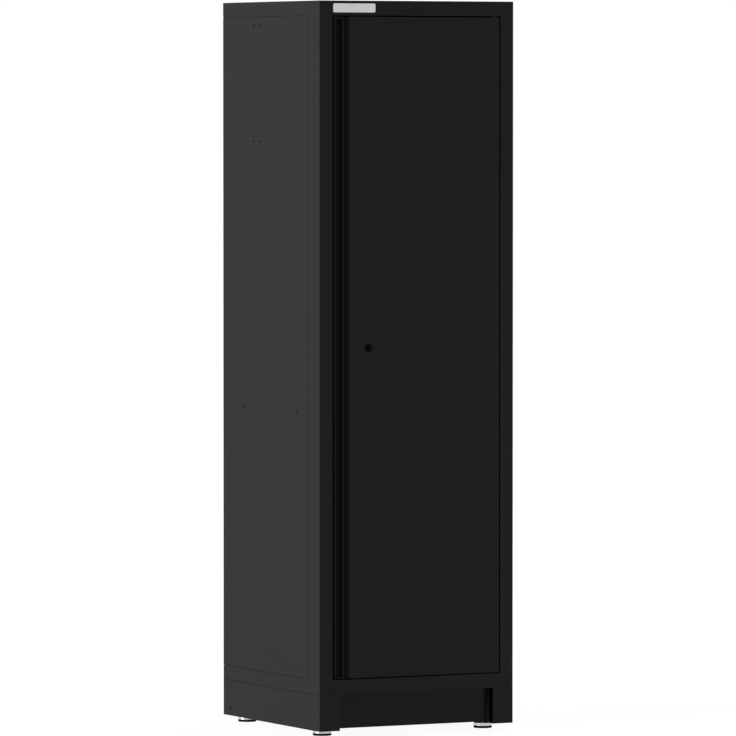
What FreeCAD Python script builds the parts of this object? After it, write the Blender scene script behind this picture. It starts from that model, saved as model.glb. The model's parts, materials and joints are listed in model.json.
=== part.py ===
import FreeCAD, Part
import math
import os

# Tall steel storage cabinet with one inset door, on a plinth with levelling feet.
# Millimetres. +X is to the right, the front faces -Y, +Z is up, and the floor is at z = 0.

# Body
body_width = 600.0          # across the front
body_depth = 600.0          # front face to back face
body_height = 1996.0        # plinth and carcass together, without the feet
plinth_height = 99.0        # plinth under the carcass
foot_drop = 18.0            # plinth's lower edge above the floor

# Folded sheet
sheet = 1.2                 # carcass, plinth and door
shelf_sheet = 1.0           # shelves
bend_radius = 2.0           # outside radius of a fold that shows
tight_radius = 0.8          # outside radius of the folds round the door opening
seam = 1.5                  # groove round the inset side panel

# Front frame
stile_width = 40.0          # front face of a post
rail_height = 40.5          # front face of a rail
post_wrap = 70.5            # how far a post reaches round the side
reveal_depth = 37.0         # depth of the opening's side walls
stop_lip = 12.0             # lip behind the door's free edge
skirt_height = 40.0         # turned edge of the top and bottom panels
rail_hem = 12.0             # turned edge at the back of a rail's flange
side_flange = 25.0          # turned rear edge of a side panel
lap = 14.0                  # side panel's stepped edge behind its neighbours
lap_overlap = 8.0           # width of the step in the side panel

# Holes for joining neighbouring cabinets
link_hole = 7.0             # diameter
link_pair_front = 364.0     # first hole of a pair, behind the front face
link_pair_pitch = 40.0      # front to back
link_pair_drop = 66.0       # upper pair below the top
link_pair_rise = 320.0      # between the upper and the lower pair
link_mid_front = 141.0      # front middle hole, behind the front face
link_mid_pitch = 325.0      # front to back
link_mid_height = 872.0     # above the plinth's lower edge
plinth_hole_rear = 45.0     # plinth's hole, before the back face
plinth_hole_height = 20.0   # above the plinth's lower edge

# Plinth
corner_width = 62.4         # front face of a plinth corner
kick_recess = 40.0          # kick panel behind the front face
kick_return = 16.0          # strips welded to the kick panel's ends, forwards
kick_clearance = 3.0        # kick panel's lower edge above the plinth's
kick_flange_inset = 25.0    # kick panel's rear flanges stop this far from its ends
plinth_flange = 30.0        # top flange under the carcass
plinth_foot_flange = 15.0   # bottom flange of the plinth's walls
plinth_rear_flange = 40.0   # turned rear edge of a plinth side

# Levelling feet
foot_side_inset = 50.0      # foot centre from the side
foot_front_inset = 84.0     # front feet behind the front face
foot_rear_inset = 50.0      # rear feet before the back face
pad_diameter = 47.5
pad_height = 5.0
pad_chamfer = 0.8
bell_diameter = 50.0
bell_side = 11.0            # straight side of the bell
bell_crown = 3.0            # rise of the bell's top
bell_round = 4.0            # outside radius of the bell's edge
neck_diameter = 18.0
neck_height = 4.0           # neck between bell and stem
stem_diameter = 10.0
stem_length = 70.0          # above the neck
nut_width = 17.0            # across flats
nut_height = 8.0
bracket_width = 70.0        # foot bracket, from the side wall inwards
bracket_length = 66.0       # foot bracket, front to back
bracket_sheet = 3.0
bracket_height = 28.0       # foot bracket above the plinth's lower edge
bracket_flange = 22.0       # bracket's upturned edge on the side wall
thread_clearance = 0.05     # radial, stem in its nut

# Bolts between carcass and plinth
bolt_diameter = 8.0
bolt_head_width = 13.0      # across flats
bolt_head_height = 5.3
bolt_length = 16.0          # under the head
bolt_nut_height = 6.5
bolt_side_inset = 17.0      # bolt centre from the side
bolt_end_inset = 130.0      # bolt centre from the front and back faces
bolt_clearance = 0.5        # radial, bolt in its hole

# Shelves
shelf_count = 4
shelf_skirt = 28.0          # turned edges of a shelf
shelf_hem = 12.0            # inward turn under a shelf's edges
shelf_front_gap = 60.0      # shelf's front edge behind the front face
shelf_rear_gap = 6.0        # shelf's rear edge before the back panel
shelf_side_gap = 1.0        # shelf to clip, each side
standard_width = 20.0       # slotted standard, front to back
standard_depth = 12.0
standard_front = 110.0      # front standards' centre behind the front face
standard_rear = 75.0        # rear standards' centre before the back face
slot_pitch = 50.0
slot_width = 12.0
slot_height = 4.0
clip_width = 16.0
clip_sheet = 2.0
clip_ledge = 14.0           # how far a clip reaches under the shelf
clip_rise = 6.0             # ledge above the slot's lower edge
clip_drop = 12.0            # clip's back plate below the slot
clip_tongue = 5.0           # tongue behind the standard's face
clip_tongue_height = 3.0
clip_tongue_width = 10.0

# Door
door_gap = 3.5              # above and below the door
grip_gap = 4.4              # beside the grip
hinge_gap = 3.0             # beside the hinge edge
door_depth = 30.0           # outer panel, front to back
door_edge_radius = 3.0      # outside radius at the hinge edge
door_return = 12.0          # outer panel's turned edges on the inner panel
grip_width = 32.7           # grip bar's front
grip_rim = 7.0              # flat rim on each side of the bar's pocket
grip_pocket_depth = 8.0
grip_wall = 2.5
grip_foot = 13.0            # bar's flange on the inner panel
grip_cap = 3.0              # end cap beyond the bar
grip_band = 1.5             # end cap's plug before the pocket's end
grip_corner = 6.0           # radius of the pocket's end corners
grip_radius = 1.5           # outside radius of the bar's folds
trough_mouth = 29.6         # finger trough at the front
shoulder_radius = 24.0      # rolled edge of the door's face

# Pivots
pivot_from_reveal = 13.0    # pivot axis from the post's inner wall
pivot_from_front = 8.0      # pivot axis behind the front face
pin_diameter = 8.0
pin_clearance = 0.05        # radial, pin in its bush
pin_engagement = 14.0       # pin inside the door
pin_head = 3.0              # height of the pin's head
pin_head_diameter = 12.0
bush_wall = 1.8
bush_flange = 1.5
bush_flange_diameter = 13.6
bush_length = 12.0          # inside the door
washer_play = 0.05          # under the door's lower bush
pivot_plate = 3.0           # thickness of the plates and brackets at the pivots
pivot_plate_length = 52.0
pivot_bracket_sheet = 4.0
piece_clearance = 0.3       # loose clearance beside a plate or a fitted piece

# Lock
lock_left = 149.6           # lock centre from the left side
lock_height = 1047.0        # above the plinth's lower edge
bezel_diameter = 22.5
bezel_proud = 2.0           # bezel in front of the door
barrel_diameter = 18.0
barrel_flat = 16.0          # across the barrel's flats
plug_diameter = 12.0
plug_proud = 0.4            # plug in front of the bezel's sunk face
plug_clearance = 0.05       # radial
key_slot_width = 2.0
key_slot_length = 8.0
key_slot_depth = 6.0
lock_nut_width = 26.0       # across flats
lock_nut_height = 4.0
tail_width = 7.0            # square end of the plug
cam_radius = 16.0           # cam's pins from the lock's axis
cam_width = 13.0
cam_sheet = 2.5
cam_pin_diameter = 5.0
cam_screw_head = 8.5        # diameter
cam_screw_head_height = 2.5
cam_screw_diameter = 4.0
cam_screw_length = 9.0
cam_gap = 1.0               # door's inner panel to the cam
rod_width = 17.0
rod_sheet = 3.0
rod_gap = 1.0               # cam to the rods
rod_play = 0.7              # cam pin in the rod's slot, each way along the rod
rod_end_margin = 5.0        # rod's end beyond its slot
rod_tip_clearance = 7.0     # drawn-back rod's tip to the rail
rod_taper = 4.0             # bevel at the rod's tip
end_round = 0.98            # rounding of the cam's ends and the slots, share of half their width
guide_length = 20.0
guide_wall = 4.0
guide_clearance = 0.4
guide_near = 90.0           # inner guide from the lock's axis
guide_far = 120.0           # outer guide from the rod's tip

# Closing
magnet_height = 50.0
magnet_inset = 240.0        # magnets from the opening's ends
bumper_height = 12.0
bumper_inset = 90.0         # bumpers from the opening's ends
stop_pad_width = 7.0        # magnets and bumpers on the lip
closing_gap = 0.4           # closed door to magnets and bumpers

vec = FreeCAD.Vector
x_axis = vec(1, 0, 0)
y_axis = vec(0, 1, 0)
z_axis = vec(0, 0, 1)

# Places worked out from the sizes. The lock's bezel counts in the box, so the front face lies a little
# behind the middle of the box by half of it.
right_x = body_width / 2
left_x = -right_x
front_y = (bezel_proud - body_depth) / 2
back_y = front_y + body_depth
plinth_z = foot_drop
carcass_z = plinth_z + plinth_height
top_z = plinth_z + body_height
middle_z = (carcass_z + top_z) / 2
fold_reach = max(sheet, bend_radius)
opening_right = right_x - stile_width
opening_left = -opening_right
opening_bottom = carcass_z + rail_height
opening_top = top_z - rail_height

door_left = opening_left + grip_gap
door_right = opening_right - hinge_gap
door_bottom = opening_bottom + door_gap
door_top = opening_top - door_gap
door_back = front_y + door_depth
door_inside = door_back + sheet
shoulder_x = door_left + grip_width + trough_mouth - shoulder_radius
pivot_x = opening_right - pivot_from_reveal
pivot_y = front_y + pivot_from_front
lock_x = left_x + lock_left
lock_z = plinth_z + lock_height


def block(x0, x1, y0, y1, z0, z1):
    return Part.makeBox(x1 - x0, y1 - y0, z1 - z0, vec(x0, y0, z0))


def rod(diameter, start, end):
    path = end - start
    return Part.makeCylinder(diameter / 2, path.Length, start, path)


def hexagon(width, height, base, axis):
    corner = width / 2 / math.cos(math.pi / 6)
    side = vec(0, 0, 1) if abs(axis.z) < 0.5 else vec(1, 0, 0)
    across = axis.cross(side)
    turns = [math.radians(60 * step) for step in range(7)]
    points = [base + side * (corner * math.cos(a)) + across * (corner * math.sin(a)) for a in turns]
    return Part.Face(Part.makePolygon(points)).extrude(axis * height)


def mirrored(shape):
    return shape.mirror(vec(0, 0, 0), x_axis)


def flipped(shape):
    return shape.mirror(vec(0, 0, middle_z), z_axis)


# Plane of a drawn outline: a point from its two coordinates.
def plan(z):
    return lambda u, v: vec(u, v, z)


def section(x):
    return lambda u, v: vec(x, u, v)


def elevation(y):
    return lambda u, v: vec(u, y, v)


# Closed outline with rounded corners. Each corner is (u, v, radius).
def outline(corners, place):
    edges = []
    ends = []
    count = len(corners)
    for index, (u, v, radius) in enumerate(corners):
        here = vec(u, v, 0)
        before = (vec(*corners[index - 1][:2], 0) - here).normalize()
        after = (vec(*corners[(index + 1) % count][:2], 0) - here).normalize()
        if radius > 0.01:
            half = before.getAngle(after) / 2
            reach = radius / math.tan(half)
            bisector = (before + after).normalize()
            nearest = here + bisector * (radius / math.sin(half) - radius)
            ends.append((here + before * reach, nearest, here + after * reach))
        else:
            ends.append((here, None, here))
    spot = lambda p: place(p.x, p.y)
    for index, (start, nearest, end) in enumerate(ends):
        if nearest is not None:
            edges.append(Part.Arc(spot(start), spot(nearest), spot(end)).toShape())
        following = ends[(index + 1) % count][0]
        if (following - end).Length > 1e-6:
            edges.append(Part.LineSegment(spot(end), spot(following)).toShape())
    return Part.Face(Part.Wire(edges))


# Outline of a folded strip. The path is its outer face, and the sheet lies on the left of the path.
# Each corner is (u, v, radius on the path).
def strip(path, thickness, place, end_radius=0.0):
    points = [vec(u, v, 0) for u, v, radius in path]
    ways = [(b - a).normalize() for a, b in zip(points, points[1:])]
    sides = [vec(-way.y, way.x, 0) for way in ways]
    inner = [(points[0] + sides[0] * thickness, end_radius)]
    for index in range(1, len(points) - 1):
        one, two = sides[index - 1], sides[index]
        mitre = (one + two) * (thickness / (1 + one.dot(two)))
        left_turn = ways[index - 1].cross(ways[index]).z > 0
        radius = path[index][2] + (-thickness if left_turn else thickness)
        inner.append((points[index] + mitre, max(radius, 0.0)))
    inner.append((points[-1] + sides[-1] * thickness, end_radius))
    corners = [(p.x, p.y, path[index][2]) for index, p in enumerate(points)]
    corners[0] = (points[0].x, points[0].y, end_radius)
    corners[-1] = (points[-1].x, points[-1].y, end_radius)
    corners += [(p.x, p.y, radius) for p, radius in reversed(inner)]
    return outline(corners, place)


def save(name, *solids):
    shape = solids[0] if len(solids) == 1 else Part.makeCompound(list(solids))
    for solid in shape.Solids:
        if not solid.isValid():
            raise ValueError(name + " is not a valid solid")
    shape.exportStep("parts/" + name + ".step")
    print(name, len(shape.Solids), "solids", round(shape.Volume / 1000, 1), "cm3")


# Front posts and rails. A post is drawn on the left.
def front_post():
    path = [
        (left_x, front_y + post_wrap, 0),
        (left_x, front_y, bend_radius),
        (opening_left, front_y, tight_radius),
        (opening_left, front_y + reveal_depth, tight_radius),
        (opening_left + stop_lip, front_y + reveal_depth, 0),
    ]
    low = carcass_z + sheet
    return strip(path, sheet, plan(low)).extrude(z_axis * (top_z - sheet - low))


def front_rail():
    flange_end = door_inside
    path = [
        (front_y, top_z - sheet, 0),
        (front_y, opening_top, tight_radius),
        (flange_end, opening_top, tight_radius),
        (flange_end, opening_top + rail_hem, 0),
    ]
    rail = strip(path, sheet, section(opening_left)).extrude(x_axis * (opening_right - opening_left))
    start = vec(pivot_x, pivot_y, opening_top - sheet)
    return rail.cut(rod(pin_diameter + 2 * piece_clearance, start, start + z_axis * 3 * sheet))


# Top and bottom panels: trays whose sides stop at the posts
def tray():
    outer = block(left_x, right_x, front_y, back_y, top_z - skirt_height, top_z)
    rear_edges = [e for e in outer.Edges if e.BoundBox.YMin > back_y - 1 and e.BoundBox.ZLength > 1]
    upper_edges = [e for e in outer.Edges if e.BoundBox.ZMin > top_z - 1]
    outer = outer.makeFillet(bend_radius, rear_edges + upper_edges)
    low, high = top_z - skirt_height - 1, top_z - sheet
    hollow = block(left_x + sheet, right_x - sheet, front_y - 1, back_y - sheet, low, high)
    ends = block(left_x - 1, right_x + 1, front_y - 1, front_y + post_wrap, low, high)
    return outer.cut(hollow).cut(ends)


# Places of the four bolts between carcass and plinth
def bolt_places():
    across = right_x - bolt_side_inset
    along = (front_y + bolt_end_inset, back_y - bolt_end_inset)
    return [(x, y) for x in (-across, across) for y in along]


def with_bolt_holes(shape, low, high):
    for x, y in bolt_places():
        shape = shape.cut(rod(bolt_diameter + 2 * bolt_clearance, vec(x, y, low), vec(x, y, high)))
    return shape


# Side panel with a stepped edge behind the post and the trays, and a turned rear edge
def side_panel():
    y0 = front_y + post_wrap + seam
    z0 = carcass_z + skirt_height + seam
    z1 = top_z - skirt_height - seam
    path = [
        (left_x + side_flange, back_y, 0),
        (left_x, back_y, bend_radius),
        (left_x, y0, 0),
    ]
    face = strip(path, sheet, plan(z0)).extrude(z_axis * (z1 - z0))
    step_x = left_x + sheet
    step_end = back_y - 2 * sheet - piece_clearance
    step = block(step_x, step_x + sheet, y0 - seam - lap, step_end, z0 - seam - lap, z1 + seam + lap)
    inner_y = y0 + lap_overlap
    step = step.cut(block(
        step_x - 1, step_x + sheet + 1, inner_y, step_end + 1, z0 + lap_overlap, z1 - lap_overlap))
    panel = face.fuse(step).removeSplitter()
    pair_y = front_y + link_pair_front
    pair_z = top_z - link_pair_drop
    mid_y = front_y + link_mid_front
    mid_z = plinth_z + link_mid_height
    holes = [(pair_y + a * link_pair_pitch, pair_z - b * link_pair_rise) for a in (0, 1) for b in (0, 1)]
    holes += [(mid_y + a * link_mid_pitch, mid_z) for a in (0, 1)]
    for y, z in holes:
        panel = panel.cut(rod(link_hole, vec(left_x - 1, y, z), vec(left_x + 3 * sheet, y, z)))
    return panel


def back_panel():
    side = right_x - fold_reach - piece_clearance
    return block(-side, side, back_y - 2 * sheet, back_y - sheet, carcass_z + sheet, top_z - sheet)


# Plinth. Each side ends in a corner box: a front face, a floor and a web that carries the kick panel's end.
def plinth_side():
    path = [
        (left_x + plinth_rear_flange, back_y, 0),
        (left_x, back_y, bend_radius),
        (left_x, front_y, bend_radius),
        (left_x + corner_width, front_y, 0),
    ]
    wall = strip(path, sheet, plan(plinth_z)).extrude(z_axis * plinth_height)
    flange_front = front_y + kick_recess + 2 * sheet
    flange_back = back_y - 2 * sheet - piece_clearance
    wall_inside = left_x + sheet / 2
    wall = wall.fuse(block(
        wall_inside, left_x + plinth_flange, flange_front, flange_back, carcass_z - sheet, carcass_z))
    wall = wall.fuse(block(
        wall_inside, left_x + plinth_foot_flange, flange_front, flange_back, plinth_z, plinth_z + sheet))
    wall = wall.fuse(block(
        wall_inside, left_x + corner_width, front_y + sheet / 2, flange_front, plinth_z, plinth_z + sheet))
    web_y = front_y + kick_recess
    wall = wall.fuse(block(
        wall_inside, left_x + corner_width - sheet, web_y - sheet, web_y, plinth_z, carcass_z))
    hole = vec(left_x - 1, back_y - plinth_hole_rear, plinth_z + plinth_hole_height)
    wall = wall.cut(rod(link_hole, hole, hole + x_axis * (3 * sheet)))
    return with_bolt_holes(wall.removeSplitter(), carcass_z - 2 * sheet, carcass_z + sheet)


def plinth_rear():
    side = right_x - fold_reach - piece_clearance
    path = [
        (back_y - sheet - plinth_foot_flange, plinth_z, 0),
        (back_y - sheet, plinth_z, tight_radius + sheet),
        (back_y - sheet, carcass_z, tight_radius + sheet),
        (back_y - sheet - plinth_flange, carcass_z, 0),
    ]
    wall = strip(path, sheet, section(-side)).extrude(x_axis * (2 * side))
    keep = right_x - plinth_flange - piece_clearance
    ends = block(-right_x, right_x, front_y, back_y - 2 * sheet, plinth_z - 1, carcass_z + 1)
    return wall.cut(ends.cut(block(-keep, keep, front_y, back_y, plinth_z - 2, carcass_z + 2)))


# Kick panel: a face with flanges behind it and a strip welded to each end
def kick_panel():
    edge_x = left_x + corner_width
    face_y = front_y + kick_recess
    low = plinth_z + kick_clearance
    panel = block(edge_x - sheet, sheet - edge_x, face_y, face_y + sheet, low, carcass_z)
    reach = -edge_x - kick_flange_inset
    flange_end = face_y + plinth_foot_flange
    for z in (low, carcass_z - sheet):
        panel = panel.fuse(block(-reach, reach, face_y + sheet / 2, flange_end, z, z + sheet))
    end = block(edge_x - sheet, edge_x, face_y - kick_return, face_y, low, carcass_z)
    return panel.removeSplitter(), end, mirrored(end)


# Feet: centre of each, by name
def foot_places():
    across = right_x - foot_side_inset
    front = front_y + foot_front_inset
    rear = back_y - foot_rear_inset
    return {
        "front_left": (-across, front),
        "front_right": (across, front),
        "rear_left": (-across, rear),
        "rear_right": (across, rear),
    }


def foot_stem(x, y):
    side_z = pad_height + bell_side
    crown_z = side_z + bell_crown
    top = crown_z + neck_height
    profile = [
        (0, pad_height, 0),
        (bell_diameter / 2, pad_height, bell_round / 8),
        (bell_diameter / 2, side_z, bell_round),
        (neck_diameter / 2, crown_z, bell_round / 2),
        (neck_diameter / 2, top, 0),
        (stem_diameter / 2, top, 0),
        (stem_diameter / 2, top + stem_length, stem_diameter / 10),
        (0, top + stem_length, 0),
    ]
    half = outline(profile, lambda r, z: vec(x + r, y, z))
    return half.revolve(vec(x, y, 0), z_axis, 360)


def foot_pad(x, y):
    rim = pad_diameter / 2
    profile = [
        (0, 0, 0),
        (rim - pad_chamfer, 0, 0),
        (rim, pad_chamfer, 0),
        (rim, pad_height - pad_chamfer, 0),
        (rim - pad_chamfer, pad_height, 0),
        (0, pad_height, 0),
    ]
    half = outline(profile, lambda r, z: vec(x + r, y, z))
    return half.revolve(vec(x, y, 0), z_axis, 360)


# Angle with a welded nut on it. The upturned edge lies on the plinth's side wall.
def foot_bracket(x, y):
    wall_x = right_x - sheet
    plate_z = plinth_z + bracket_height
    path = [
        (wall_x - bracket_width, plate_z, 0),
        (wall_x, plate_z, bracket_sheet),
        (wall_x, plate_z + bracket_flange, 0),
    ]
    y0 = y - bracket_length / 2
    angle = strip(path, bracket_sheet, elevation(y0)).extrude(y_axis * bracket_length)
    seat = vec(abs(x), y, plate_z + bracket_sheet)
    nut = hexagon(nut_width, nut_height, seat, z_axis)
    thread = stem_diameter + 2 * thread_clearance
    hole = rod(thread, seat - z_axis * 2 * bracket_sheet, seat + z_axis * 2 * nut_height)
    bracket = angle.fuse(nut).cut(hole).removeSplitter()
    return bracket if x > 0 else mirrored(bracket)


# Bolt down through the carcass floor and the plinth's flange, and its nut
def plinth_bolt(x, y):
    seat = carcass_z + sheet
    head = hexagon(bolt_head_width, bolt_head_height, vec(x, y, seat), z_axis)
    return head.fuse(rod(bolt_diameter, vec(x, y, seat), vec(x, y, seat - bolt_length))).removeSplitter()


def plinth_nut(x, y):
    seat = carcass_z - sheet
    nut = hexagon(bolt_head_width, bolt_nut_height, vec(x, y, seat), z_axis * -1)
    return nut.cut(rod(bolt_diameter, vec(x, y, seat + 1), vec(x, y, seat - bolt_nut_height - 1)))


# Shelves
standard_low = carcass_z + skirt_height + seam + lap_overlap + sheet
standard_high = top_z - skirt_height - seam - lap_overlap - sheet
standard_face = left_x + sheet + standard_depth
standard_rows = {"front": front_y + standard_front, "rear": back_y - standard_rear}
slot_total = int((standard_high - standard_low - slot_pitch / 2) / slot_pitch)


def slot_z(index):
    return standard_low + slot_pitch / 2 + index * slot_pitch


# Slot under each shelf, spread evenly up the standards
def shelf_slots():
    return [round((slot_total + 1) * (step + 1) / (shelf_count + 1)) - 1 for step in range(shelf_count)]


def standard(y):
    half = standard_width / 2
    path = [
        (left_x + sheet, y - half, 0),
        (standard_face, y - half, bend_radius),
        (standard_face, y + half, bend_radius),
        (left_x + sheet, y + half, 0),
    ]
    rail = strip(path, sheet, plan(standard_low)).extrude(z_axis * (standard_high - standard_low))
    x0, x1 = standard_face - 2 * sheet, standard_face + 1
    y0, y1 = y - slot_width / 2, y + slot_width / 2
    lows = [slot_z(index) for index in range(slot_total)]
    slots = [block(x0, x1, y0, y1, z, z + slot_height) for z in lows]
    return rail.cut(Part.makeCompound(slots))


def shelf_clip(y, index):
    z = slot_z(index)
    path = [
        (standard_face, z - clip_drop, 0),
        (standard_face, z + clip_rise, bend_radius),
        (standard_face + clip_sheet + clip_ledge, z + clip_rise, 0),
    ]
    path = [(-u, v, radius) for u, v, radius in path]
    angle = strip(path, clip_sheet, elevation(y - clip_width / 2)).extrude(y_axis * clip_width)
    half = clip_tongue_width / 2
    tongue = block(
        standard_face - sheet - clip_tongue, standard_face + clip_sheet / 2, y - half, y + half,
        z, z + clip_tongue_height)
    return mirrored(angle).fuse(tongue).removeSplitter()


def shelf(index):
    low = slot_z(index) + clip_rise
    side = -standard_face - clip_sheet - shelf_side_gap
    y0 = front_y + shelf_front_gap
    y1 = back_y - 2 * sheet - shelf_rear_gap
    outer = block(-side, side, y0, y1, low, low + shelf_skirt)
    shown = [e for e in outer.Edges if e.BoundBox.ZLength > 1 or e.BoundBox.ZMin > low + 1]
    outer = outer.makeFillet(bend_radius, shown)
    thin = shelf_sheet
    hollow = block(-side + thin, side - thin, y0 + thin, y1 - thin, low + thin, low + shelf_skirt - thin)
    mouth = block(
        -side + shelf_hem, side - shelf_hem, y0 + shelf_hem, y1 - shelf_hem, low - 1, low + 2 * thin)
    return outer.cut(hollow).cut(mouth)


# Door: outer panel, a tray whose left edge rolls back to the inner panel
def door_outer():
    height = door_top - door_bottom
    shape = outline([
        (shoulder_x, door_back, 0),
        (shoulder_x, front_y, shoulder_radius),
        (door_right, front_y, door_edge_radius),
        (door_right, door_back, 0),
    ], plan(door_bottom)).extrude(z_axis * height)
    left, right = shoulder_x + sheet, door_right - sheet
    low, high = door_bottom + sheet, door_top - sheet
    hollow = outline([
        (left, door_back - sheet, 0),
        (left, front_y + sheet, shoulder_radius - sheet),
        (right, front_y + sheet, door_edge_radius - sheet),
        (right, door_back - sheet, 0),
    ], plan(low)).extrude(z_axis * (high - low))
    turned_left, turned_right = shoulder_x + door_return, door_right - door_return
    mouth = block(turned_left, turned_right, door_back - 2 * sheet, door_back + 1, low, high)
    shape = shape.cut(hollow).cut(mouth)
    bush = pin_diameter + 2 * (pin_clearance + bush_wall)
    for z in (door_bottom, door_top):
        middle = vec(pivot_x, pivot_y, z)
        shape = shape.cut(rod(bush, middle - z_axis * 2 * sheet, middle + z_axis * 2 * sheet))
    start = vec(lock_x, front_y - 1, lock_z)
    return shape.cut(lock_barrel(start, 2 * sheet + 1, piece_clearance))


# Inner panel: the door's back, which is also the floor of the finger trough
def door_inner():
    panel = block(door_left, door_right, door_back, door_inside, door_bottom, door_top)
    start = vec(lock_x, door_back - 1, lock_z)
    return panel.cut(lock_barrel(start, sheet + 2, piece_clearance))


# Grip bar: a folded strip with a long pocket in its face and a foot on the inner panel
def grip_bar():
    face = front_y
    pocket_left = door_left + grip_rim
    pocket_right = door_left + grip_width - grip_rim
    floor = front_y + grip_pocket_depth
    path = [
        (door_left + grip_foot, door_back, 0),
        (door_left, door_back, grip_radius),
        (door_left, face, grip_radius),
        (pocket_left, face, grip_radius),
        (pocket_left, floor, grip_radius),
        (pocket_right, floor, grip_radius),
        (pocket_right, face, grip_radius),
        (door_left + grip_width, face, 0),
    ]
    low = door_bottom + grip_cap
    bar = strip(path, grip_wall, plan(low), grip_wall * 0.4)
    return bar.extrude(z_axis * (door_top - grip_cap - low))


# End cap: a plate over the bar's end with a plug that rounds the pocket's corners
def grip_end_cap():
    seat = door_top - grip_cap
    plate = block(door_left, door_left + grip_width, front_y, door_back, seat, door_top)
    shown = [e for e in plate.Edges if e.BoundBox.ZLength > 1 and e.BoundBox.YMax < front_y + 1]
    plate = plate.makeFillet(grip_radius, shown)
    left = door_left + grip_rim + piece_clearance
    right = door_left + grip_width - grip_rim - piece_clearance
    deep = front_y + grip_pocket_depth - piece_clearance
    low = seat - grip_band - grip_corner
    plug = outline([
        (left, front_y, 0),
        (right, front_y, 0),
        (right, deep, grip_radius),
        (left, deep, grip_radius),
    ], plan(low)).extrude(z_axis * (seat + grip_cap / 2 - low))
    notch = outline([
        (left + grip_band / 2, low - grip_corner, 0),
        (right - grip_band / 2, low - grip_corner, 0),
        (right - grip_band / 2, low + grip_corner, grip_corner),
        (left + grip_band / 2, low + grip_corner, grip_corner),
    ], elevation(front_y - 1)).extrude(y_axis * (grip_pocket_depth + 2))
    return plate.fuse(plug.cut(notch)).removeSplitter()


# Pivots. The upper set is drawn and the lower one is its mirror image.
def pivot_bracket():
    low = opening_top + sheet
    right = opening_right - piece_clearance
    plate = block(
        right - pivot_plate_length, right, front_y + sheet + piece_clearance,
        door_inside - sheet - piece_clearance, low, low + pivot_bracket_sheet)
    start = vec(pivot_x, pivot_y, low - 1)
    return plate.cut(rod(pin_diameter, start, start + z_axis * (pivot_bracket_sheet + 2)))


def pivot_pin():
    seat = vec(pivot_x, pivot_y, opening_top + sheet + pivot_bracket_sheet)
    low = door_top - pin_engagement
    pin = rod(pin_diameter, vec(pivot_x, pivot_y, low), seat)
    low_edge = [e for e in pin.Edges if e.BoundBox.ZMax < low + 1 and e.Closed]
    pin = pin.makeChamfer(pin_diameter / 8, low_edge)
    return pin.fuse(rod(pin_head_diameter, seat, seat + z_axis * pin_head)).removeSplitter()


def pivot_bush():
    bore = pin_diameter + 2 * pin_clearance
    seat = vec(pivot_x, pivot_y, door_top)
    bush = rod(bore + 2 * bush_wall, seat - z_axis * bush_length, seat)
    bush = bush.fuse(rod(bush_flange_diameter, seat, seat + z_axis * bush_flange)).removeSplitter()
    return bush.cut(rod(bore, seat - z_axis * 2 * bush_length, seat + z_axis * 2 * bush_flange))


def pivot_stiffener():
    high = door_top - sheet
    right = door_right - sheet - door_edge_radius
    plate = block(
        right - pivot_plate_length, right, front_y + sheet, door_back - sheet, high - pivot_plate, high)
    outer = pin_diameter + 2 * (pin_clearance + bush_wall)
    start = vec(pivot_x, pivot_y, high + 1)
    return plate.cut(rod(outer, start, start - z_axis * (pivot_plate + 2)))


def thrust_washer():
    low = opening_bottom
    high = door_bottom - bush_flange - washer_play
    ring = rod(bush_flange_diameter, vec(pivot_x, pivot_y, low), vec(pivot_x, pivot_y, high))
    return ring.cut(rod(pin_diameter, vec(pivot_x, pivot_y, low - 1), vec(pivot_x, pivot_y, high + 1)))


# Lock. Its barrel has two flats that keep it from turning in the door.
def lock_barrel(start, length, extra):
    wide = barrel_diameter + 2 * extra
    half = barrel_flat / 2 + extra
    end = start + y_axis * length
    flats = block(start.x - half, start.x + half, start.y, end.y, start.z - wide, start.z + wide)
    return rod(wide, start, end).common(flats)


lock_end = door_inside + cam_gap / 2
cam_front = door_inside + cam_gap
cam_back = cam_front + cam_sheet
rod_front = cam_back + rod_gap
rod_back = rod_front + rod_sheet
bezel_front = front_y - bezel_proud


def lock_housing():
    rim = bezel_diameter / 2
    bore = plug_diameter / 2 + plug_clearance
    profile = [
        (bore, bezel_front + plug_proud, 0),
        (bore + 1, bezel_front, 0),
        (rim, bezel_front, bezel_proud * 0.5),
        (rim, front_y, 0),
        (bore, front_y, 0),
    ]
    ring = outline(profile, lambda r, y: vec(lock_x + r, y, lock_z))
    bezel = ring.revolve(vec(lock_x, 0, lock_z), y_axis, 360)
    seat = vec(lock_x, front_y, lock_z)
    barrel = lock_barrel(seat, lock_end - front_y, 0)
    barrel = barrel.cut(rod(2 * bore, seat - y_axis, vec(lock_x, lock_end + 1, lock_z)))
    return bezel.fuse(barrel).removeSplitter()


def lock_plug():
    face = bezel_front + plug_proud
    plug = rod(plug_diameter, vec(lock_x, face, lock_z), vec(lock_x, lock_end, lock_z))
    half = tail_width / 2
    tail = block(lock_x - half, lock_x + half, lock_end - 1, cam_back, lock_z - half, lock_z + half)
    slot = block(
        lock_x - key_slot_width / 2, lock_x + key_slot_width / 2, face - 1, face + key_slot_depth,
        lock_z - key_slot_length / 2, lock_z + key_slot_length / 2)
    seat = vec(lock_x, cam_back, lock_z)
    thread = rod(cam_screw_diameter, seat + y_axis, seat - y_axis * cam_screw_length)
    return plug.fuse(tail).removeSplitter().cut(slot).cut(thread)


def lock_nut():
    seat = vec(lock_x, front_y + sheet, lock_z)
    nut = hexagon(lock_nut_width, lock_nut_height, seat, y_axis)
    return nut.cut(rod(barrel_diameter, seat - y_axis, seat + y_axis * (lock_nut_height + 1)))


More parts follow.
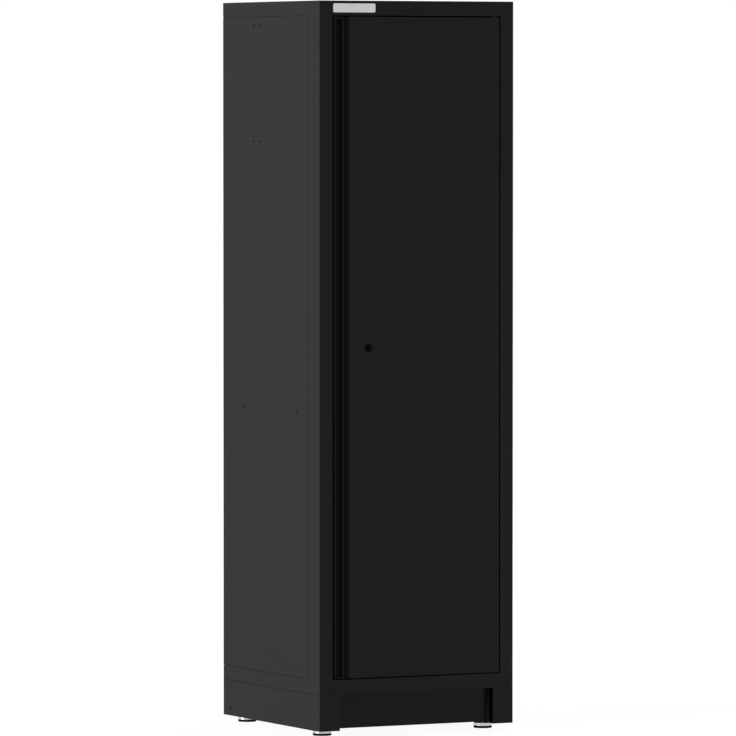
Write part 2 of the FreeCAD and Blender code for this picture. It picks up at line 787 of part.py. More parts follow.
# Cam at rest: the upper rod's pin is low on the left, the lower rod's pin is high on the right
def rod_cam():
    reach = cam_radius + cam_width / 2
    half = cam_width / 2
    bar = outline([
        (lock_x - reach, lock_z - half, half * end_round),
        (lock_x + reach, lock_z - half, half * end_round),
        (lock_x + reach, lock_z + half, half * end_round),
        (lock_x - reach, lock_z + half, half * end_round),
    ], elevation(cam_front)).extrude(y_axis * cam_sheet)
    for x in (lock_x - cam_radius, lock_x + cam_radius):
        start = vec(x, cam_back - 1, lock_z)
        bar = bar.fuse(rod(cam_pin_diameter, start, vec(x, rod_back + rod_gap, lock_z)))
    bar.rotate(vec(lock_x, 0, lock_z), y_axis, -45)
    half = tail_width / 2
    hole = block(
        lock_x - half, lock_x + half, cam_front - 1, cam_back + 1, lock_z - half, lock_z + half)
    return bar.removeSplitter().cut(hole)


def cam_screw():
    seat = vec(lock_x, cam_back, lock_z)
    head = rod(cam_screw_head, seat, seat + y_axis * cam_screw_head_height)
    shank = rod(cam_screw_diameter, seat - y_axis * cam_screw_length, seat)
    return head.fuse(shank).removeSplitter()


# Rods: the pin's path across the rod sets the slot
pin_near = cam_radius * math.cos(math.pi / 4)
rod_offset = (pin_near + cam_radius) / 2
upper_rod_x = lock_x - rod_offset
lower_rod_x = lock_x + rod_offset


def lock_rod(x, pin_z, tip_z):
    way = math.copysign(1, tip_z - pin_z)
    slot_half = cam_pin_diameter / 2 + rod_play
    start_z = pin_z - way * (slot_half + rod_end_margin)
    half = rod_width / 2
    tip = [
        (x - half, start_z, rod_taper),
        (x + half, start_z, rod_taper),
        (x + half, tip_z - way * 2 * rod_taper, 0),
        (x + half - rod_taper, tip_z, rod_taper / 4),
        (x - half + rod_taper, tip_z, rod_taper / 4),
        (x - half, tip_z - way * 2 * rod_taper, 0),
    ]
    bar = outline(tip, elevation(rod_front)).extrude(y_axis * rod_sheet)
    reach = (cam_radius - pin_near) / 2 + slot_half
    slot = outline([
        (x - reach, pin_z - slot_half, slot_half * end_round),
        (x + reach, pin_z - slot_half, slot_half * end_round),
        (x + reach, pin_z + slot_half, slot_half * end_round),
        (x - reach, pin_z + slot_half, slot_half * end_round),
    ], elevation(rod_front - 1)).extrude(y_axis * (rod_sheet + 2))
    return bar.cut(slot)


def rod_guide(x, z):
    half = rod_width / 2 + guide_clearance
    y0 = rod_front - guide_clearance
    y1 = rod_back + guide_clearance
    outer = block(
        x - half - guide_wall, x + half + guide_wall, door_inside, y1 + guide_wall / 2,
        z - guide_length / 2, z + guide_length / 2)
    outer_edges = [e for e in outer.Edges if e.BoundBox.ZLength > 1 and e.BoundBox.YMin > y1]
    outer = outer.makeFillet(guide_wall / 4, outer_edges)
    return outer.cut(block(x - half, x + half, y0, y1, z - guide_length, z + guide_length))


# Magnets and bumpers on the post's lip
def stop_pad(z, height):
    face = door_inside + closing_gap
    back = front_y + reveal_depth
    pad = block(door_left, door_left + stop_pad_width, face, back, z - height / 2, z + height / 2)
    shown = [e for e in pad.Edges if e.BoundBox.YMax < back - 1 and e.BoundBox.YLength < 0.01]
    return pad.makeFillet(stop_pad_width / 10, shown)


os.makedirs("parts", exist_ok=True)

save("left_front_post", front_post())
save("right_front_post", mirrored(front_post()))
rail = front_rail()
save("top_front_rail", rail)
save("bottom_front_rail", flipped(rail))
top = tray()
save("top_panel", top)
save("bottom_panel", with_bolt_holes(flipped(top), carcass_z - sheet, carcass_z + 2 * sheet))
side = side_panel()
save("left_side_panel", side)
save("right_side_panel", mirrored(side))
save("back_panel", back_panel())

corner = plinth_side()
save("plinth_left_side", corner)
save("plinth_right_side", mirrored(corner))
save("plinth_rear_panel", plinth_rear())
save("kick_panel", *kick_panel())
save("plinth_bolts", *[plinth_bolt(x, y) for x, y in bolt_places()])
save("plinth_nuts", *[plinth_nut(x, y) for x, y in bolt_places()])

save("foot_brackets", *[foot_bracket(x, y) for x, y in foot_places().values()])
for name, (x, y) in foot_places().items():
    save(name + "_foot_stem", foot_stem(x, y))
    save(name + "_foot_pad", foot_pad(x, y))

clips = []
for row, y in standard_rows.items():
    upright = standard(y)
    save(row + "_left_shelf_standard", upright)
    save(row + "_right_shelf_standard", mirrored(upright))
    for index in shelf_slots():
        clip = shelf_clip(y, index)
        clips += [clip, mirrored(clip)]
save("shelf_clips", *clips)
for number, index in enumerate(shelf_slots(), start=1):
    save("shelf_%d" % number, shelf(index))

save("door_outer_panel", door_outer())
save("door_inner_panel", door_inner())
save("grip_bar", grip_bar())
cap = grip_end_cap()
save("grip_top_cap", cap)
save("grip_bottom_cap", flipped(cap))

for make, name in [
    (pivot_bracket, "pivot_bracket"),
    (pivot_pin, "pivot_pin"),
    (pivot_bush, "pivot_bush"),
    (pivot_stiffener, "pivot_stiffener"),
]:
    piece = make()
    save("upper_" + name, piece)
    save("lower_" + name, flipped(piece))
save("thrust_washer", thrust_washer())

save("lock_housing", lock_housing())
save("lock_plug", lock_plug())
save("lock_nut", lock_nut())
save("rod_cam", rod_cam())
save("cam_screw", cam_screw())
upper_tip = opening_top - rod_tip_clearance
lower_tip = opening_bottom + rod_tip_clearance
save("upper_lock_rod", lock_rod(upper_rod_x, lock_z - pin_near, upper_tip))
save("lower_lock_rod", lock_rod(lower_rod_x, lock_z + pin_near, lower_tip))
upper_guides = (lock_z + guide_near, upper_tip - guide_far)
lower_guides = (lock_z - guide_near, lower_tip + guide_far)
save("upper_rod_guides", *[rod_guide(upper_rod_x, z) for z in upper_guides])
save("lower_rod_guides", *[rod_guide(lower_rod_x, z) for z in lower_guides])

opening_ends = [(opening_bottom, 1), (opening_top, -1)]
save("door_magnets", *[stop_pad(z + way * magnet_inset, magnet_height) for z, way in opening_ends])
save("door_bumpers", *[stop_pad(z + way * bumper_inset, bumper_height) for z, way in opening_ends])
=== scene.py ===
import json
import math

import bmesh
import bpy
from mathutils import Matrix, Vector


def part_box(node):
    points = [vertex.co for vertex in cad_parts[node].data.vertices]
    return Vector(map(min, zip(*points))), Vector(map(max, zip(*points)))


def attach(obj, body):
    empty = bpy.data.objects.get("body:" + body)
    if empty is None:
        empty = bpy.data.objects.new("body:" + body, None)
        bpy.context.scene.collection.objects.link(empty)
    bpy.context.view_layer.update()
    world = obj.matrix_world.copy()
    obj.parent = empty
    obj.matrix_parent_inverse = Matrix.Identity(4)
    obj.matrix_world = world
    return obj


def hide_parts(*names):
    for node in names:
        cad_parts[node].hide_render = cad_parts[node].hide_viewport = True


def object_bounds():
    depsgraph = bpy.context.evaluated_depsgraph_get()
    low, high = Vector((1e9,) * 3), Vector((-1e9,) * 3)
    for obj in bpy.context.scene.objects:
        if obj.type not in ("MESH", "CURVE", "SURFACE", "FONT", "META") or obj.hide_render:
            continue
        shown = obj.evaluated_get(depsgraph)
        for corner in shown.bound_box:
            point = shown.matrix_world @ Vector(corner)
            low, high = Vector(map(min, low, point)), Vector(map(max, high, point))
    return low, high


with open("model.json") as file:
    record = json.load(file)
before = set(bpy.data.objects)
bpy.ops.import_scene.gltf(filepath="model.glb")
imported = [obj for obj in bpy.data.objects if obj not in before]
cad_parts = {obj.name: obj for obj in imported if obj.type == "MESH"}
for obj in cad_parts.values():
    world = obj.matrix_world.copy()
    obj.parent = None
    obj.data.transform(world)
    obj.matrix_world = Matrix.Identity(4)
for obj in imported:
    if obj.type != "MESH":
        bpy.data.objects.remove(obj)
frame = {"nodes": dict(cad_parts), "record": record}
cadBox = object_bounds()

scene = bpy.context.scene
nodes = frame["nodes"]
subparts = frame["record"]["subparts"]
print("frame loaded:", len(nodes), "nodes")


# Small helpers for node trees

def addNode(tree, kind, x=0, y=0, **settings):
    node = tree.nodes.new(kind)
    node.location = (x, y)
    for key, value in settings.items():
        setattr(node, key, value)
    return node


def setInputs(node, values):
    for label, value in values.items():
        node.inputs[label].default_value = value


def addNoise(tree, place, detail, x, y):
    noise = addNode(tree, "ShaderNodeTexNoise", x, y)
    noise.inputs["Detail"].default_value = detail
    tree.links.new(place.outputs["Object"], noise.inputs["Vector"])
    return noise


def addRange(tree, value, limits, x, y):
    ranged = addNode(tree, "ShaderNodeMapRange", x, y)
    setInputs(ranged, limits)
    tree.links.new(value, ranged.inputs["Value"])
    return ranged.outputs["Result"]


def addTint(tree, color, tone, x, y):
    tinted = addNode(tree, "ShaderNodeMix", x, y, data_type="RGBA", blend_type="MULTIPLY")
    tinted.inputs["Factor"].default_value = 1.0
    tree.links.new(color, tinted.inputs["A"])
    tree.links.new(tone, tinted.inputs["B"])
    return tinted.outputs["Result"]


def addBump(tree, shader, height, strength, depth):
    bump = addNode(tree, "ShaderNodeBump", -150, -300)
    setInputs(bump, {"Strength": strength, "Distance": depth})
    tree.links.new(height, bump.inputs["Height"])
    tree.links.new(bump.outputs["Normal"], shader.inputs["Normal"])


def startMaterial(name):
    material = bpy.data.materials.new(name)
    material.use_nodes = True
    tree = material.node_tree
    return material, tree, tree.nodes["Principled BSDF"]


# Both groups of finishes put out the same three values

surfaceOutputs = {"Color": "NodeSocketColor", "Roughness": "NodeSocketFloat", "Height": "NodeSocketFloat"}


def startGroup(name, inputs):
    tree = bpy.data.node_groups.new(name, "ShaderNodeTree")
    for label, kind, value in inputs:
        socket = tree.interface.new_socket(name=label, in_out="INPUT", socket_type=kind)
        socket.default_value = value
    for label, kind in surfaceOutputs.items():
        tree.interface.new_socket(name=label, in_out="OUTPUT", socket_type=kind)
    return tree, addNode(tree, "NodeGroupInput", -900), addNode(tree, "NodeGroupOutput", 700)


grainDepth = 0.0002  # height of the groups' bump


def makeFinish(name, group, look):
    material, tree, shader = startMaterial(name)
    surface = addNode(tree, "ShaderNodeGroup", -400, node_tree=group)
    setInputs(surface, look["group"])
    setInputs(shader, look["shader"])
    tree.links.new(surface.outputs["Color"], shader.inputs["Base Color"])
    tree.links.new(surface.outputs["Roughness"], shader.inputs["Roughness"])
    addBump(tree, shader, surface.outputs["Height"], look["bump"], grainDepth)
    return material


# Powder coat: fine grain, slow drift of tone, painted shade in seams and gaps, and a paler line over a fold
# that is partly thin coat and partly a painted highlight

coatLook = {
    "grainDetail": 2.0, "driftDetail": 3.0, "driftSize": 3.0, "driftTone": {"To Min": 0.93, "To Max": 1.07},
    "foldSamples": 4, "foldThinCoatAndSheen": {"From Min": 0.98, "From Max": 0.8},
    "seamSamples": 6, "seamShade": {"From Min": 0.4, "From Max": 0.9, "To Min": 0.05},
    "roughSwing": 0.12,
}


def makeCoatGroup():
    tree, inside, outside = startGroup("powderCoat", [
        ("Color", "NodeSocketColor", (0.02, 0.02, 0.02, 1)),
        ("Edge Color", "NodeSocketColor", (0.05, 0.05, 0.05, 1)),
        ("Grain Size", "NodeSocketFloat", 900.0),
        ("Roughness", "NodeSocketFloat", 0.5),
        ("Edge Width", "NodeSocketFloat", 0.0012),
        ("Seam Reach", "NodeSocketFloat", 0.004),
    ])
    link = tree.links.new
    place = addNode(tree, "ShaderNodeTexCoord", -900, -300)
    grain = addNoise(tree, place, coatLook["grainDetail"], -500, -300)
    link(inside.outputs["Grain Size"], grain.inputs["Scale"])
    link(grain.outputs["Fac"], outside.inputs["Height"])
    drift = addNoise(tree, place, coatLook["driftDetail"], -500, 0)
    drift.inputs["Scale"].default_value = coatLook["driftSize"]
    tone = addRange(tree, drift.outputs["Fac"], coatLook["driftTone"], -300, 0)
    toned = addTint(tree, inside.outputs["Color"], tone, -50, 100)
    # Near a fold the rounded normal turns away from the true one
    rounded = addNode(tree, "ShaderNodeBevel", -700, 400, samples=coatLook["foldSamples"])
    link(inside.outputs["Edge Width"], rounded.inputs["Radius"])
    surface = addNode(tree, "ShaderNodeNewGeometry", -700, 250)
    facing = addNode(tree, "ShaderNodeVectorMath", -500, 350, operation="DOT_PRODUCT")
    link(rounded.outputs["Normal"], facing.inputs[0])
    link(surface.outputs["Normal"], facing.inputs[1])
    thinCoatAndSheen = addRange(tree, facing.outputs["Value"], coatLook["foldThinCoatAndSheen"], -300, 350)
    # Paler line over a fold: partly a thinner coat, partly a painted highlight
    edged = addNode(tree, "ShaderNodeMix", 200, 200, data_type="RGBA")
    link(thinCoatAndSheen, edged.inputs["Factor"])
    link(toned, edged.inputs["A"])
    link(inside.outputs["Edge Color"], edged.inputs["B"])
    # Painted shade: seams and narrow gaps are darkened in the colour by ambient occlusion
    opened = addNode(tree, "ShaderNodeAmbientOcclusion", -50, 450, samples=coatLook["seamSamples"])
    link(inside.outputs["Seam Reach"], opened.inputs["Distance"])
    seamShade = addRange(tree, opened.outputs["AO"], coatLook["seamShade"], 200, 450)
    link(addTint(tree, edged.outputs["Result"], seamShade, 450, 200), outside.inputs["Color"])
    # The grain swings the roughness to both sides of its value
    roughBase = addNode(tree, "ShaderNodeMath", -300, -150, operation="SUBTRACT")
    roughBase.inputs[1].default_value = coatLook["roughSwing"] / 2
    link(inside.outputs["Roughness"], roughBase.inputs[0])
    rough = addNode(tree, "ShaderNodeMath", -50, -150, operation="MULTIPLY_ADD")
    rough.inputs[1].default_value = coatLook["roughSwing"]
    link(grain.outputs["Fac"], rough.inputs[0])
    link(roughBase.outputs["Value"], rough.inputs[2])
    link(rough.outputs["Value"], outside.inputs["Roughness"])
    return tree


coats = {
    "bodyCoat": {
        "group": {"Color": (0.030, 0.030, 0.0305, 1), "Edge Color": (0.042, 0.042, 0.0427, 1),
                  "Roughness": 0.5, "Grain Size": 900.0},
        "bump": 0.12, "shader": {"Specular IOR Level": 0.025},
    },
    "gripCoat": {
        "group": {"Color": (0.018, 0.018, 0.0183, 1), "Edge Color": (0.026, 0.026, 0.0264, 1),
                  "Roughness": 0.45, "Grain Size": 1400.0},
        "bump": 0.08, "shader": {"Specular IOR Level": 0.02},
    },
    "lockBlack": {
        "group": {"Color": (0.004, 0.004, 0.004, 1), "Edge Color": (0.014, 0.014, 0.014, 1),
                  "Roughness": 0.4, "Grain Size": 2000.0},
        "bump": 0.04, "shader": {"Specular IOR Level": 0.02},
    },
}
coatGroup = makeCoatGroup()
finishes = {name: makeFinish(name, coatGroup, look) for name, look in coats.items()}


# Painted shade: the grip's pocket floor is darkened in the colour behind its rims, to stand for the shade
# there

pocketShadeLook = {"color": (0.0075, 0.0075, 0.0077, 1), "start": 0.0015, "full": 0.004}


def addPocketShade(material, frontY):
    tree = material.node_tree
    shader = tree.nodes["Principled BSDF"]
    coatColor = shader.inputs["Base Color"].links[0].from_socket
    place = addNode(tree, "ShaderNodeTexCoord", -900, 300)
    parted = addNode(tree, "ShaderNodeSeparateXYZ", -700, 300)
    tree.links.new(place.outputs["Object"], parted.inputs["Vector"])
    limits = {"From Min": frontY + pocketShadeLook["start"], "From Max": frontY + pocketShadeLook["full"]}
    depth = addRange(tree, parted.outputs["Y"], limits, -500, 300)
    pocketShaded = addNode(tree, "ShaderNodeMix", -200, 200, data_type="RGBA")
    pocketShaded.inputs["B"].default_value = pocketShadeLook["color"]
    tree.links.new(depth, pocketShaded.inputs["Factor"])
    tree.links.new(coatColor, pocketShaded.inputs["A"])
    tree.links.new(pocketShaded.outputs["Result"], shader.inputs["Base Color"])


addPocketShade(finishes["gripCoat"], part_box("grip_bar")[0][1])


# Plated steel: cloudy tone with fine scratches

zincLook = {
    "cloudDetail": 4.0, "cloudTone": {"To Min": 0.85, "To Max": 1.1}, "cloudRough": 0.15,
    "scratchDetail": 3.0, "scratchSize": 700.0,
}


def makePlateGroup():
    tree, inside, outside = startGroup("zincPlate", [
        ("Color", "NodeSocketColor", (0.5, 0.5, 0.5, 1)),
        ("Cloud Size", "NodeSocketFloat", 60.0),
        ("Roughness", "NodeSocketFloat", 0.3),
    ])
    link = tree.links.new
    place = addNode(tree, "ShaderNodeTexCoord", -900, -300)
    cloud = addNoise(tree, place, zincLook["cloudDetail"], -500, 0)
    link(inside.outputs["Cloud Size"], cloud.inputs["Scale"])
    tone = addRange(tree, cloud.outputs["Fac"], zincLook["cloudTone"], -300, 100)
    link(addTint(tree, inside.outputs["Color"], tone, 0, 100), outside.inputs["Color"])
    rough = addNode(tree, "ShaderNodeMath", 0, -100, operation="MULTIPLY_ADD")
    rough.inputs[1].default_value = zincLook["cloudRough"]
    link(cloud.outputs["Fac"], rough.inputs[0])
    link(inside.outputs["Roughness"], rough.inputs[2])
    link(rough.outputs["Value"], outside.inputs["Roughness"])
    scratch = addNoise(tree, place, zincLook["scratchDetail"], -500, -300)
    scratch.inputs["Scale"].default_value = zincLook["scratchSize"]
    link(scratch.outputs["Fac"], outside.inputs["Height"])
    return tree


plates = {
    "zincSteel": {
        "group": {"Color": (0.27, 0.27, 0.28, 1), "Roughness": 0.55, "Cloud Size": 60.0},
        "bump": 0.08, "shader": {"Metallic": 1.0},
    },
    "brightSteel": {
        "group": {"Color": (0.58, 0.58, 0.58, 1), "Roughness": 0.16, "Cloud Size": 90.0},
        "bump": 0.03, "shader": {"Metallic": 1.0},
    },
    "blackSteel": {
        "group": {"Color": (0.02, 0.02, 0.02, 1), "Roughness": 0.36, "Cloud Size": 60.0},
        "bump": 0.06, "shader": {"Metallic": 1.0},
    },
    "paleMetal": {
        "group": {"Color": (0.56, 0.56, 0.555, 1), "Roughness": 0.28, "Cloud Size": 40.0},
        "bump": 0.02, "shader": {"Metallic": 1.0},
    },
}
plateGroup = makePlateGroup()
finishes.update({name: makeFinish(name, plateGroup, look) for name, look in plates.items()})


# Moulded rubber and nylon

moulded = {
    "footRubber": {
        "colors": [(0.004, 0.004, 0.004, 1), (0.009, 0.009, 0.009, 1)], "grain": 500.0, "detail": 3.0,
        "bump": 0.2, "depth": 0.0003, "shader": {"Roughness": 0.8, "Specular IOR Level": 0.06},
    },
    "blackNylon": {
        "colors": [(0.008, 0.008, 0.008, 1), (0.014, 0.014, 0.014, 1)], "grain": 900.0, "detail": 3.0,
        "bump": 0.2, "depth": 0.0003, "shader": {"Roughness": 0.55, "Specular IOR Level": 0.06},
    },
}


def makeMoulded(name, look):
    material, tree, shader = startMaterial(name)
    setInputs(shader, look["shader"])
    place = addNode(tree, "ShaderNodeTexCoord", -900)
    grain = addNoise(tree, place, look["detail"], -700, 0)
    grain.inputs["Scale"].default_value = look["grain"]
    ramp = addNode(tree, "ShaderNodeValToRGB", -450)
    for stop, color in zip(ramp.color_ramp.elements, look["colors"]):
        stop.color = color
    tree.links.new(grain.outputs["Fac"], ramp.inputs["Fac"])
    tree.links.new(ramp.outputs["Color"], shader.inputs["Base Color"])
    addBump(tree, shader, grain.outputs["Fac"], look["bump"], look["depth"])
    return material


finishes.update({name: makeMoulded(name, look) for name, look in moulded.items()})
print("materials made:", len(finishes))


# Finish of each node by the record's slot; the pivot pins are blackened

slotFinish = {
    "black_coat": "bodyCoat", "grip_black": "gripCoat", "lock_black": "lockBlack", "rubber": "footRubber",
    "nylon": "blackNylon", "magnet": "blackNylon", "bright_zinc": "brightSteel", "zinc": "zincSteel",
}
ownFinish = {"upper_pivot_pin": "blackSteel", "lower_pivot_pin": "blackSteel"}
for part in subparts:
    finish = ownFinish.get(part["node"], slotFinish[part["material_slot"]])
    mesh = nodes[part["node"]].data
    mesh.materials.clear()
    mesh.materials.append(finishes[finish])
print("nodes dressed:", len(subparts))


# Pieces made here: a mesh, its finish and the body that carries it

mergeGap = 1e-6  # points nearer than this are one
roundSteps = 6  # faces across a rounded edge


def addObject(name, data):
    added = bpy.data.objects.new(name, data)
    scene.collection.objects.link(added)
    return added


def makeMesh(name, shape):
    mesh = bpy.data.meshes.new(name)
    shape.to_mesh(mesh)
    shape.free()
    return mesh


def addPiece(name, shape, finish, body):
    bmesh.ops.remove_doubles(shape, verts=shape.verts, dist=mergeGap)
    bmesh.ops.recalc_face_normals(shape, faces=shape.faces)
    mesh = makeMesh(name, shape)
    mesh.materials.append(finishes[finish])
    piece = addObject(name, mesh)
    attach(piece, body)
    return piece


def roundEdges(shape, edges, offset):
    bmesh.ops.bevel(shape, geom=edges, offset=offset, offset_type="OFFSET", affect="EDGES",
                    segments=roundSteps, profile=0.5, material=-1)


# A profile of (radius, height) points, turned about an axis through the middle
def turn(shape, profile, middle, axis, steps):
    points = [middle + Vector((radius, 0, 0)) + height * Vector(axis) for radius, height in profile]
    verts = [shape.verts.new(point) for point in points]
    edges = [shape.edges.new(pair) for pair in zip(verts, verts[1:])]
    bmesh.ops.spin(shape, geom=verts + edges, cent=middle, axis=axis, angle=2 * math.pi,
                   steps=steps, use_merge=True)


# Bare plate on the top rail, with a thin raised rim

plateLook = {"left": 0.0418, "width": 0.1293, "height": 0.0245, "fromTop": 0.0078, "thick": 0.0008,
             "corner": 0.004, "rim": 0.0012, "sunk": 0.0003}


def makeBarePlate():
    width, height, thick = plateLook["width"], plateLook["height"], plateLook["thick"]
    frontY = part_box("top_front_rail")[0][1]
    middle = Vector((cadBox[0][0] + plateLook["left"] + width / 2, frontY - thick / 2,
                     cadBox[1][2] - plateLook["fromTop"] - height / 2))
    shape = bmesh.new()
    bmesh.ops.create_cube(shape, size=1.0)
    bmesh.ops.scale(shape, vec=(width, thick, height), verts=shape.verts)
    corners = [e for e in shape.edges if abs(e.verts[0].co.y - e.verts[1].co.y) > thick / 2]
    roundEdges(shape, corners, plateLook["corner"])
    front = min(shape.faces, key=lambda face: face.calc_center_median().y)
    bmesh.ops.inset_region(shape, faces=[front], thickness=plateLook["rim"], use_even_offset=True)
    bmesh.ops.translate(shape, vec=(0, plateLook["sunk"], 0), verts=front.verts)
    bmesh.ops.translate(shape, vec=middle, verts=shape.verts)
    return addPiece("barePlate", shape, "paleMetal", "cabinet")


# Rivets along the turned rear edges; the dome is in shares of radius and rise

rivetLook = {"radius": 0.0032, "rise": 0.0006, "seat": 0.0002, "steps": 12, "pitch": 0.16, "inset": 0.0125,
             "sideEnd": 0.025, "rowEnd": 0.05,
             "dome": [(1, 0), (0.92, 0.55), (0.6, 1), (0.35, 1), (0.28, 0.3), (0, 0.3)]}


def addDome(shape, place):
    radius, rise, seat = rivetLook["radius"], rivetLook["rise"], rivetLook["seat"]
    profile = [(0, -seat), (radius, -seat)]
    profile += [(radius * across, rise * up) for across, up in rivetLook["dome"]]
    turn(shape, profile, place, (0, 1, 0), rivetLook["steps"])


def rivetRow(start, end):
    count = max(2, round((end - start).length / rivetLook["pitch"]) + 1)
    return [start.lerp(end, index / (count - 1)) for index in range(count)]


def makeRearRivets():
    inset, sideEnd, rowEnd = rivetLook["inset"], rivetLook["sideEnd"], rivetLook["rowEnd"]
    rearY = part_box("left_side_panel")[1][1]
    topZ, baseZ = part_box("top_panel")[0][2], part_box("bottom_panel")[1][2]
    plinthLow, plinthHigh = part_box("plinth_left_side")
    sideX = cadBox[1][0] - inset
    rows = []
    for x in (-sideX, sideX):
        rows.append((Vector((x, rearY, baseZ + sideEnd)), Vector((x, rearY, topZ - sideEnd))))
        rows.append((Vector((x, rearY, plinthLow[2] + inset)), Vector((x, rearY, plinthHigh[2] - inset))))
    for z in (baseZ - inset, topZ + inset):
        rows.append((Vector((rowEnd - sideX, rearY, z)), Vector((sideX - rowEnd, rearY, z))))
    shape = bmesh.new()
    for start, end in rows:
        for place in rivetRow(start, end):
            addDome(shape, place)
    return addPiece("rearRivets", shape, "bodyCoat", "cabinet")


# Levelling foot: a turned bell with rounded edges and a threaded stem; the ridge is in shares of the pitch

footLook = {"side": 0.011, "crown": 0.014, "neck": 0.009, "top": 0.018, "steps": 64,
            "lipRound": 0.0005, "sideRound": 0.0018, "neckRound": 0.0016, "ringGap": 1e-5,
            "stem": 0.005, "chamfer": 0.001, "pitch": 0.0015, "depth": 0.0006, "bury": 0.0001, "perTurn": 20,
            "ridge": (0.03, 0.4, 0.6, 0.97)}


def roundRing(shape, middle, radius, height, offset):
    def onRing(vert):
        reach = vert.co - middle
        away = max(abs(reach.z - height), abs(math.hypot(reach.x, reach.y) - radius))
        return away < footLook["ringGap"]
    ring = [edge for edge in shape.edges if onRing(edge.verts[0]) and onRing(edge.verts[1])]
    roundEdges(shape, ring, offset)


# One closed ridge, its inner edge buried in the stem
def addThread(shape, middle, root, start, end):
    pitch, perTurn = footLook["pitch"], footLook["perTurn"]
    crest, inner = footLook["stem"], root - footLook["bury"]
    turns = int((end - start) / pitch) - 1
    ridge = [shape.verts.new(middle + Vector((radius, 0, start + pitch * share)))
             for radius, share in zip((inner, crest, crest, inner), footLook["ridge"])]
    cap = shape.faces.new(ridge)
    bmesh.ops.spin(shape, geom=[*ridge, *cap.edges, cap], cent=middle, axis=(0, 0, 1),
                   dvec=(0, 0, pitch / perTurn), angle=2 * math.pi * turns, steps=perTurn * turns)


def makeFoot(corner):
    low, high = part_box(corner + "_foot_stem")
    middle = Vector(((low[0] + high[0]) / 2, (low[1] + high[1]) / 2, 0))
    rim, base, tip = (high[0] - low[0]) / 2, low[2], high[2]
    neck, chamfer, root = footLook["neck"], footLook["chamfer"], footLook["stem"] - footLook["depth"]
    side, crown, start = base + footLook["side"], base + footLook["crown"], base + footLook["top"]
    profile = [(0, base), (rim, base), (rim, side), (neck, crown), (neck, start), (root, start),
               (root, tip - chamfer), (root - chamfer, tip), (0, tip)]
    shape = bmesh.new()
    turn(shape, profile, middle, (0, 0, 1), footLook["steps"])
    roundRing(shape, middle, rim, base, footLook["lipRound"])
    roundRing(shape, middle, rim, side, footLook["sideRound"])
    roundRing(shape, middle, neck, crown, footLook["neckRound"])
    addThread(shape, middle, root, start, tip - chamfer)
    foot = addPiece(corner + "Foot", shape, "brightSteel", corner + "_foot")
    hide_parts(corner + "_foot_stem")
    return foot


# Rubber sole under the foot, with a lip round the bell's rim and a hollow underneath

soleLook = {"wall": 0.0005, "lip": 0.0015, "chamfer": 0.0008, "hollow": 0.014, "rise": 0.001, "steps": 64}


def makeSole(corner):
    low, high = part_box(corner + "_foot_pad")
    bellLow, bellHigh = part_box(corner + "_foot_stem")
    middle = Vector(((low[0] + high[0]) / 2, (low[1] + high[1]) / 2, 0))
    bell, floorZ, seat = (bellHigh[0] - bellLow[0]) / 2, low[2], high[2]
    rim, lipZ, chamfer = bell + soleLook["wall"], seat + soleLook["lip"], soleLook["chamfer"]
    hollow, rise = soleLook["hollow"], soleLook["rise"]
    profile = [(0, floorZ + rise), (hollow, floorZ + rise), (hollow + rise, floorZ), (rim - chamfer, floorZ),
               (rim, floorZ + chamfer), (rim, lipZ), (bell, lipZ), (bell, seat), (0, seat)]
    shape = bmesh.new()
    turn(shape, profile, middle, (0, 0, 1), soleLook["steps"])
    sole = addPiece(corner + "Sole", shape, "footRubber", corner + "_foot")
    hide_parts(corner + "_foot_pad")
    return sole


makeBarePlate()
makeRearRivets()
for corner in ("front_left", "front_right", "rear_left", "rear_right"):
    makeFoot(corner)
    makeSole(corner)
print("plate, rivets, feet and soles made")


# Pale floor: white to the camera and in reflections, grey in the light that it throws back

floorLook = {"size": 60.0, "share": 0.8, "glow": 1.18, "color": (0.8, 0.8, 0.8, 1),
             "bounce": (0.12, 0.12, 0.12, 1)}


def seenRay(tree, x, y):
    path = addNode(tree, "ShaderNodeLightPath", x, y)
    first = addNode(tree, "ShaderNodeMath", x + 200, y, operation="MAXIMUM")
    both = addNode(tree, "ShaderNodeMath", x + 400, y, operation="MAXIMUM")
    tree.links.new(path.outputs["Is Camera Ray"], first.inputs[0])
    tree.links.new(path.outputs["Is Glossy Ray"], first.inputs[1])
    tree.links.new(first.outputs["Value"], both.inputs[0])
    tree.links.new(path.outputs["Is Transmission Ray"], both.inputs[1])
    return both.outputs["Value"]


def makeFloor():
    shape = bmesh.new()
    bmesh.ops.create_grid(shape, x_segments=1, y_segments=1, size=floorLook["size"])
    mesh = makeMesh("studioFloor", shape)
    floor = addObject("studioFloor", mesh)
    material = bpy.data.materials.new("studioFloor")
    material.use_nodes = True
    tree = material.node_tree
    tree.nodes.clear()
    white = addNode(tree, "ShaderNodeBsdfDiffuse", 0, 0)
    white.inputs["Color"].default_value = floorLook["color"]
    glow = addNode(tree, "ShaderNodeEmission", 0, -150)
    glow.inputs["Strength"].default_value = floorLook["glow"]
    grey = addNode(tree, "ShaderNodeBsdfDiffuse", 0, 200)
    grey.inputs["Color"].default_value = floorLook["bounce"]
    pale = addNode(tree, "ShaderNodeMixShader", 200, 0)
    pale.inputs["Fac"].default_value = floorLook["share"]
    tree.links.new(white.outputs["BSDF"], pale.inputs[1])
    tree.links.new(glow.outputs["Emission"], pale.inputs[2])
    choice = addNode(tree, "ShaderNodeMixShader", 400, 100)
    tree.links.new(seenRay(tree, -500, 400), choice.inputs["Fac"])
    tree.links.new(grey.outputs["BSDF"], choice.inputs[1])
    tree.links.new(pale.outputs["Shader"], choice.inputs[2])
    output = addNode(tree, "ShaderNodeOutputMaterial", 600)
    tree.links.new(choice.outputs["Shader"], output.inputs["Surface"])
    mesh.materials.append(material)


# World: white where it is seen, a faint even light elsewhere

worldLook = {"color": (1, 1, 1, 1), "ambient": 0.05}


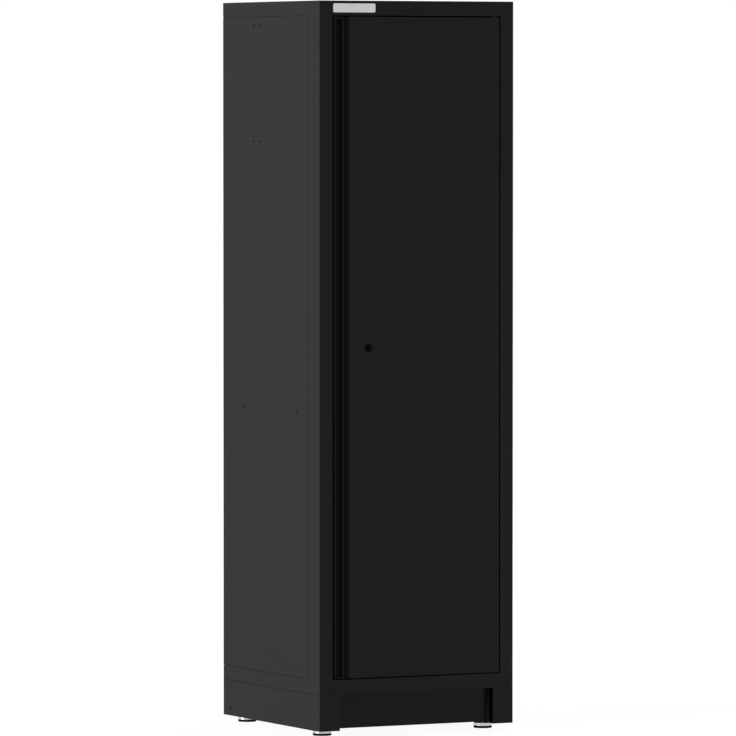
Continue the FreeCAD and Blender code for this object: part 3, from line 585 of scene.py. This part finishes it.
def makeWorld():
    world = bpy.data.worlds.new("studio")
    scene.world = world
    world.use_nodes = True
    tree = world.node_tree
    tree.nodes.clear()
    ambient = addNode(tree, "ShaderNodeBackground", 0, 100)
    setInputs(ambient, {"Color": worldLook["color"], "Strength": worldLook["ambient"]})
    white = addNode(tree, "ShaderNodeBackground", 0, -100)
    white.inputs["Color"].default_value = worldLook["color"]
    choice = addNode(tree, "ShaderNodeMixShader", 300)
    tree.links.new(seenRay(tree, -600, 300), choice.inputs["Fac"])
    tree.links.new(ambient.outputs["Background"], choice.inputs[1])
    tree.links.new(white.outputs["Background"], choice.inputs[2])
    output = addNode(tree, "ShaderNodeOutputWorld", 500)
    tree.links.new(choice.outputs["Shader"], output.inputs["Surface"])


# Two broad suns and a panel light low in front

lamps = {
    "keyFromLeft": {"way": (1.0, -0.02, -0.12), "strength": 3.6, "spread": 28.0},
    "rimFromBehind": {"way": (-0.6, -0.6, -0.55), "strength": 1.5, "spread": 30.0},
}


def aimAlong(thing, way):
    thing.rotation_mode = "QUATERNION"
    thing.rotation_quaternion = way.to_track_quat("-Z", "Y")


def makeSun(name, look):
    data = bpy.data.lights.new(name, "SUN")
    data.energy = look["strength"]
    data.angle = math.radians(look["spread"])
    aimAlong(addObject(name, data), Vector(look["way"]))


panelLook = {"place": (1.04, -6.2, 0.45), "aim": (0.0, -0.3, 0.8), "width": 2.3, "height": 0.8,
             "power": 110.0}


def makePanelLight():
    data = bpy.data.lights.new("panelFromFront", "AREA")
    data.shape = "RECTANGLE"
    data.size = panelLook["width"]
    data.size_y = panelLook["height"]
    data.energy = panelLook["power"]
    lamp = addObject("panelFromFront", data)
    lamp.location = panelLook["place"]
    aimAlong(lamp, Vector(panelLook["aim"]) - lamp.location)
    lamp.visible_camera = False
    lamp.visible_glossy = False


# Camera at the photograph's viewing angle

cameraLook = {"place": (-8.5859, -16.7306, 1.7587), "yaw": 27.172, "pitch": -2.320, "lens": 330.50,
              "sensor": 36.0, "reach": 200.0}


def makeCamera():
    data = bpy.data.cameras.new("photoCamera")
    data.lens = cameraLook["lens"]
    data.sensor_width = cameraLook["sensor"]
    data.clip_end = cameraLook["reach"]
    camera = addObject("photoCamera", data)
    camera.location = cameraLook["place"]
    yaw, pitch = math.radians(cameraLook["yaw"]), math.radians(cameraLook["pitch"])
    level = math.cos(pitch)
    aimAlong(camera, Vector((math.sin(yaw) * level, math.cos(yaw) * level, math.sin(pitch))))
    scene.camera = camera


makeFloor()
makeWorld()
for name, look in lamps.items():
    makeSun(name, look)
makePanelLight()
makeCamera()
scene.view_settings.view_transform = "Standard"
print("floor, lamps and camera made")
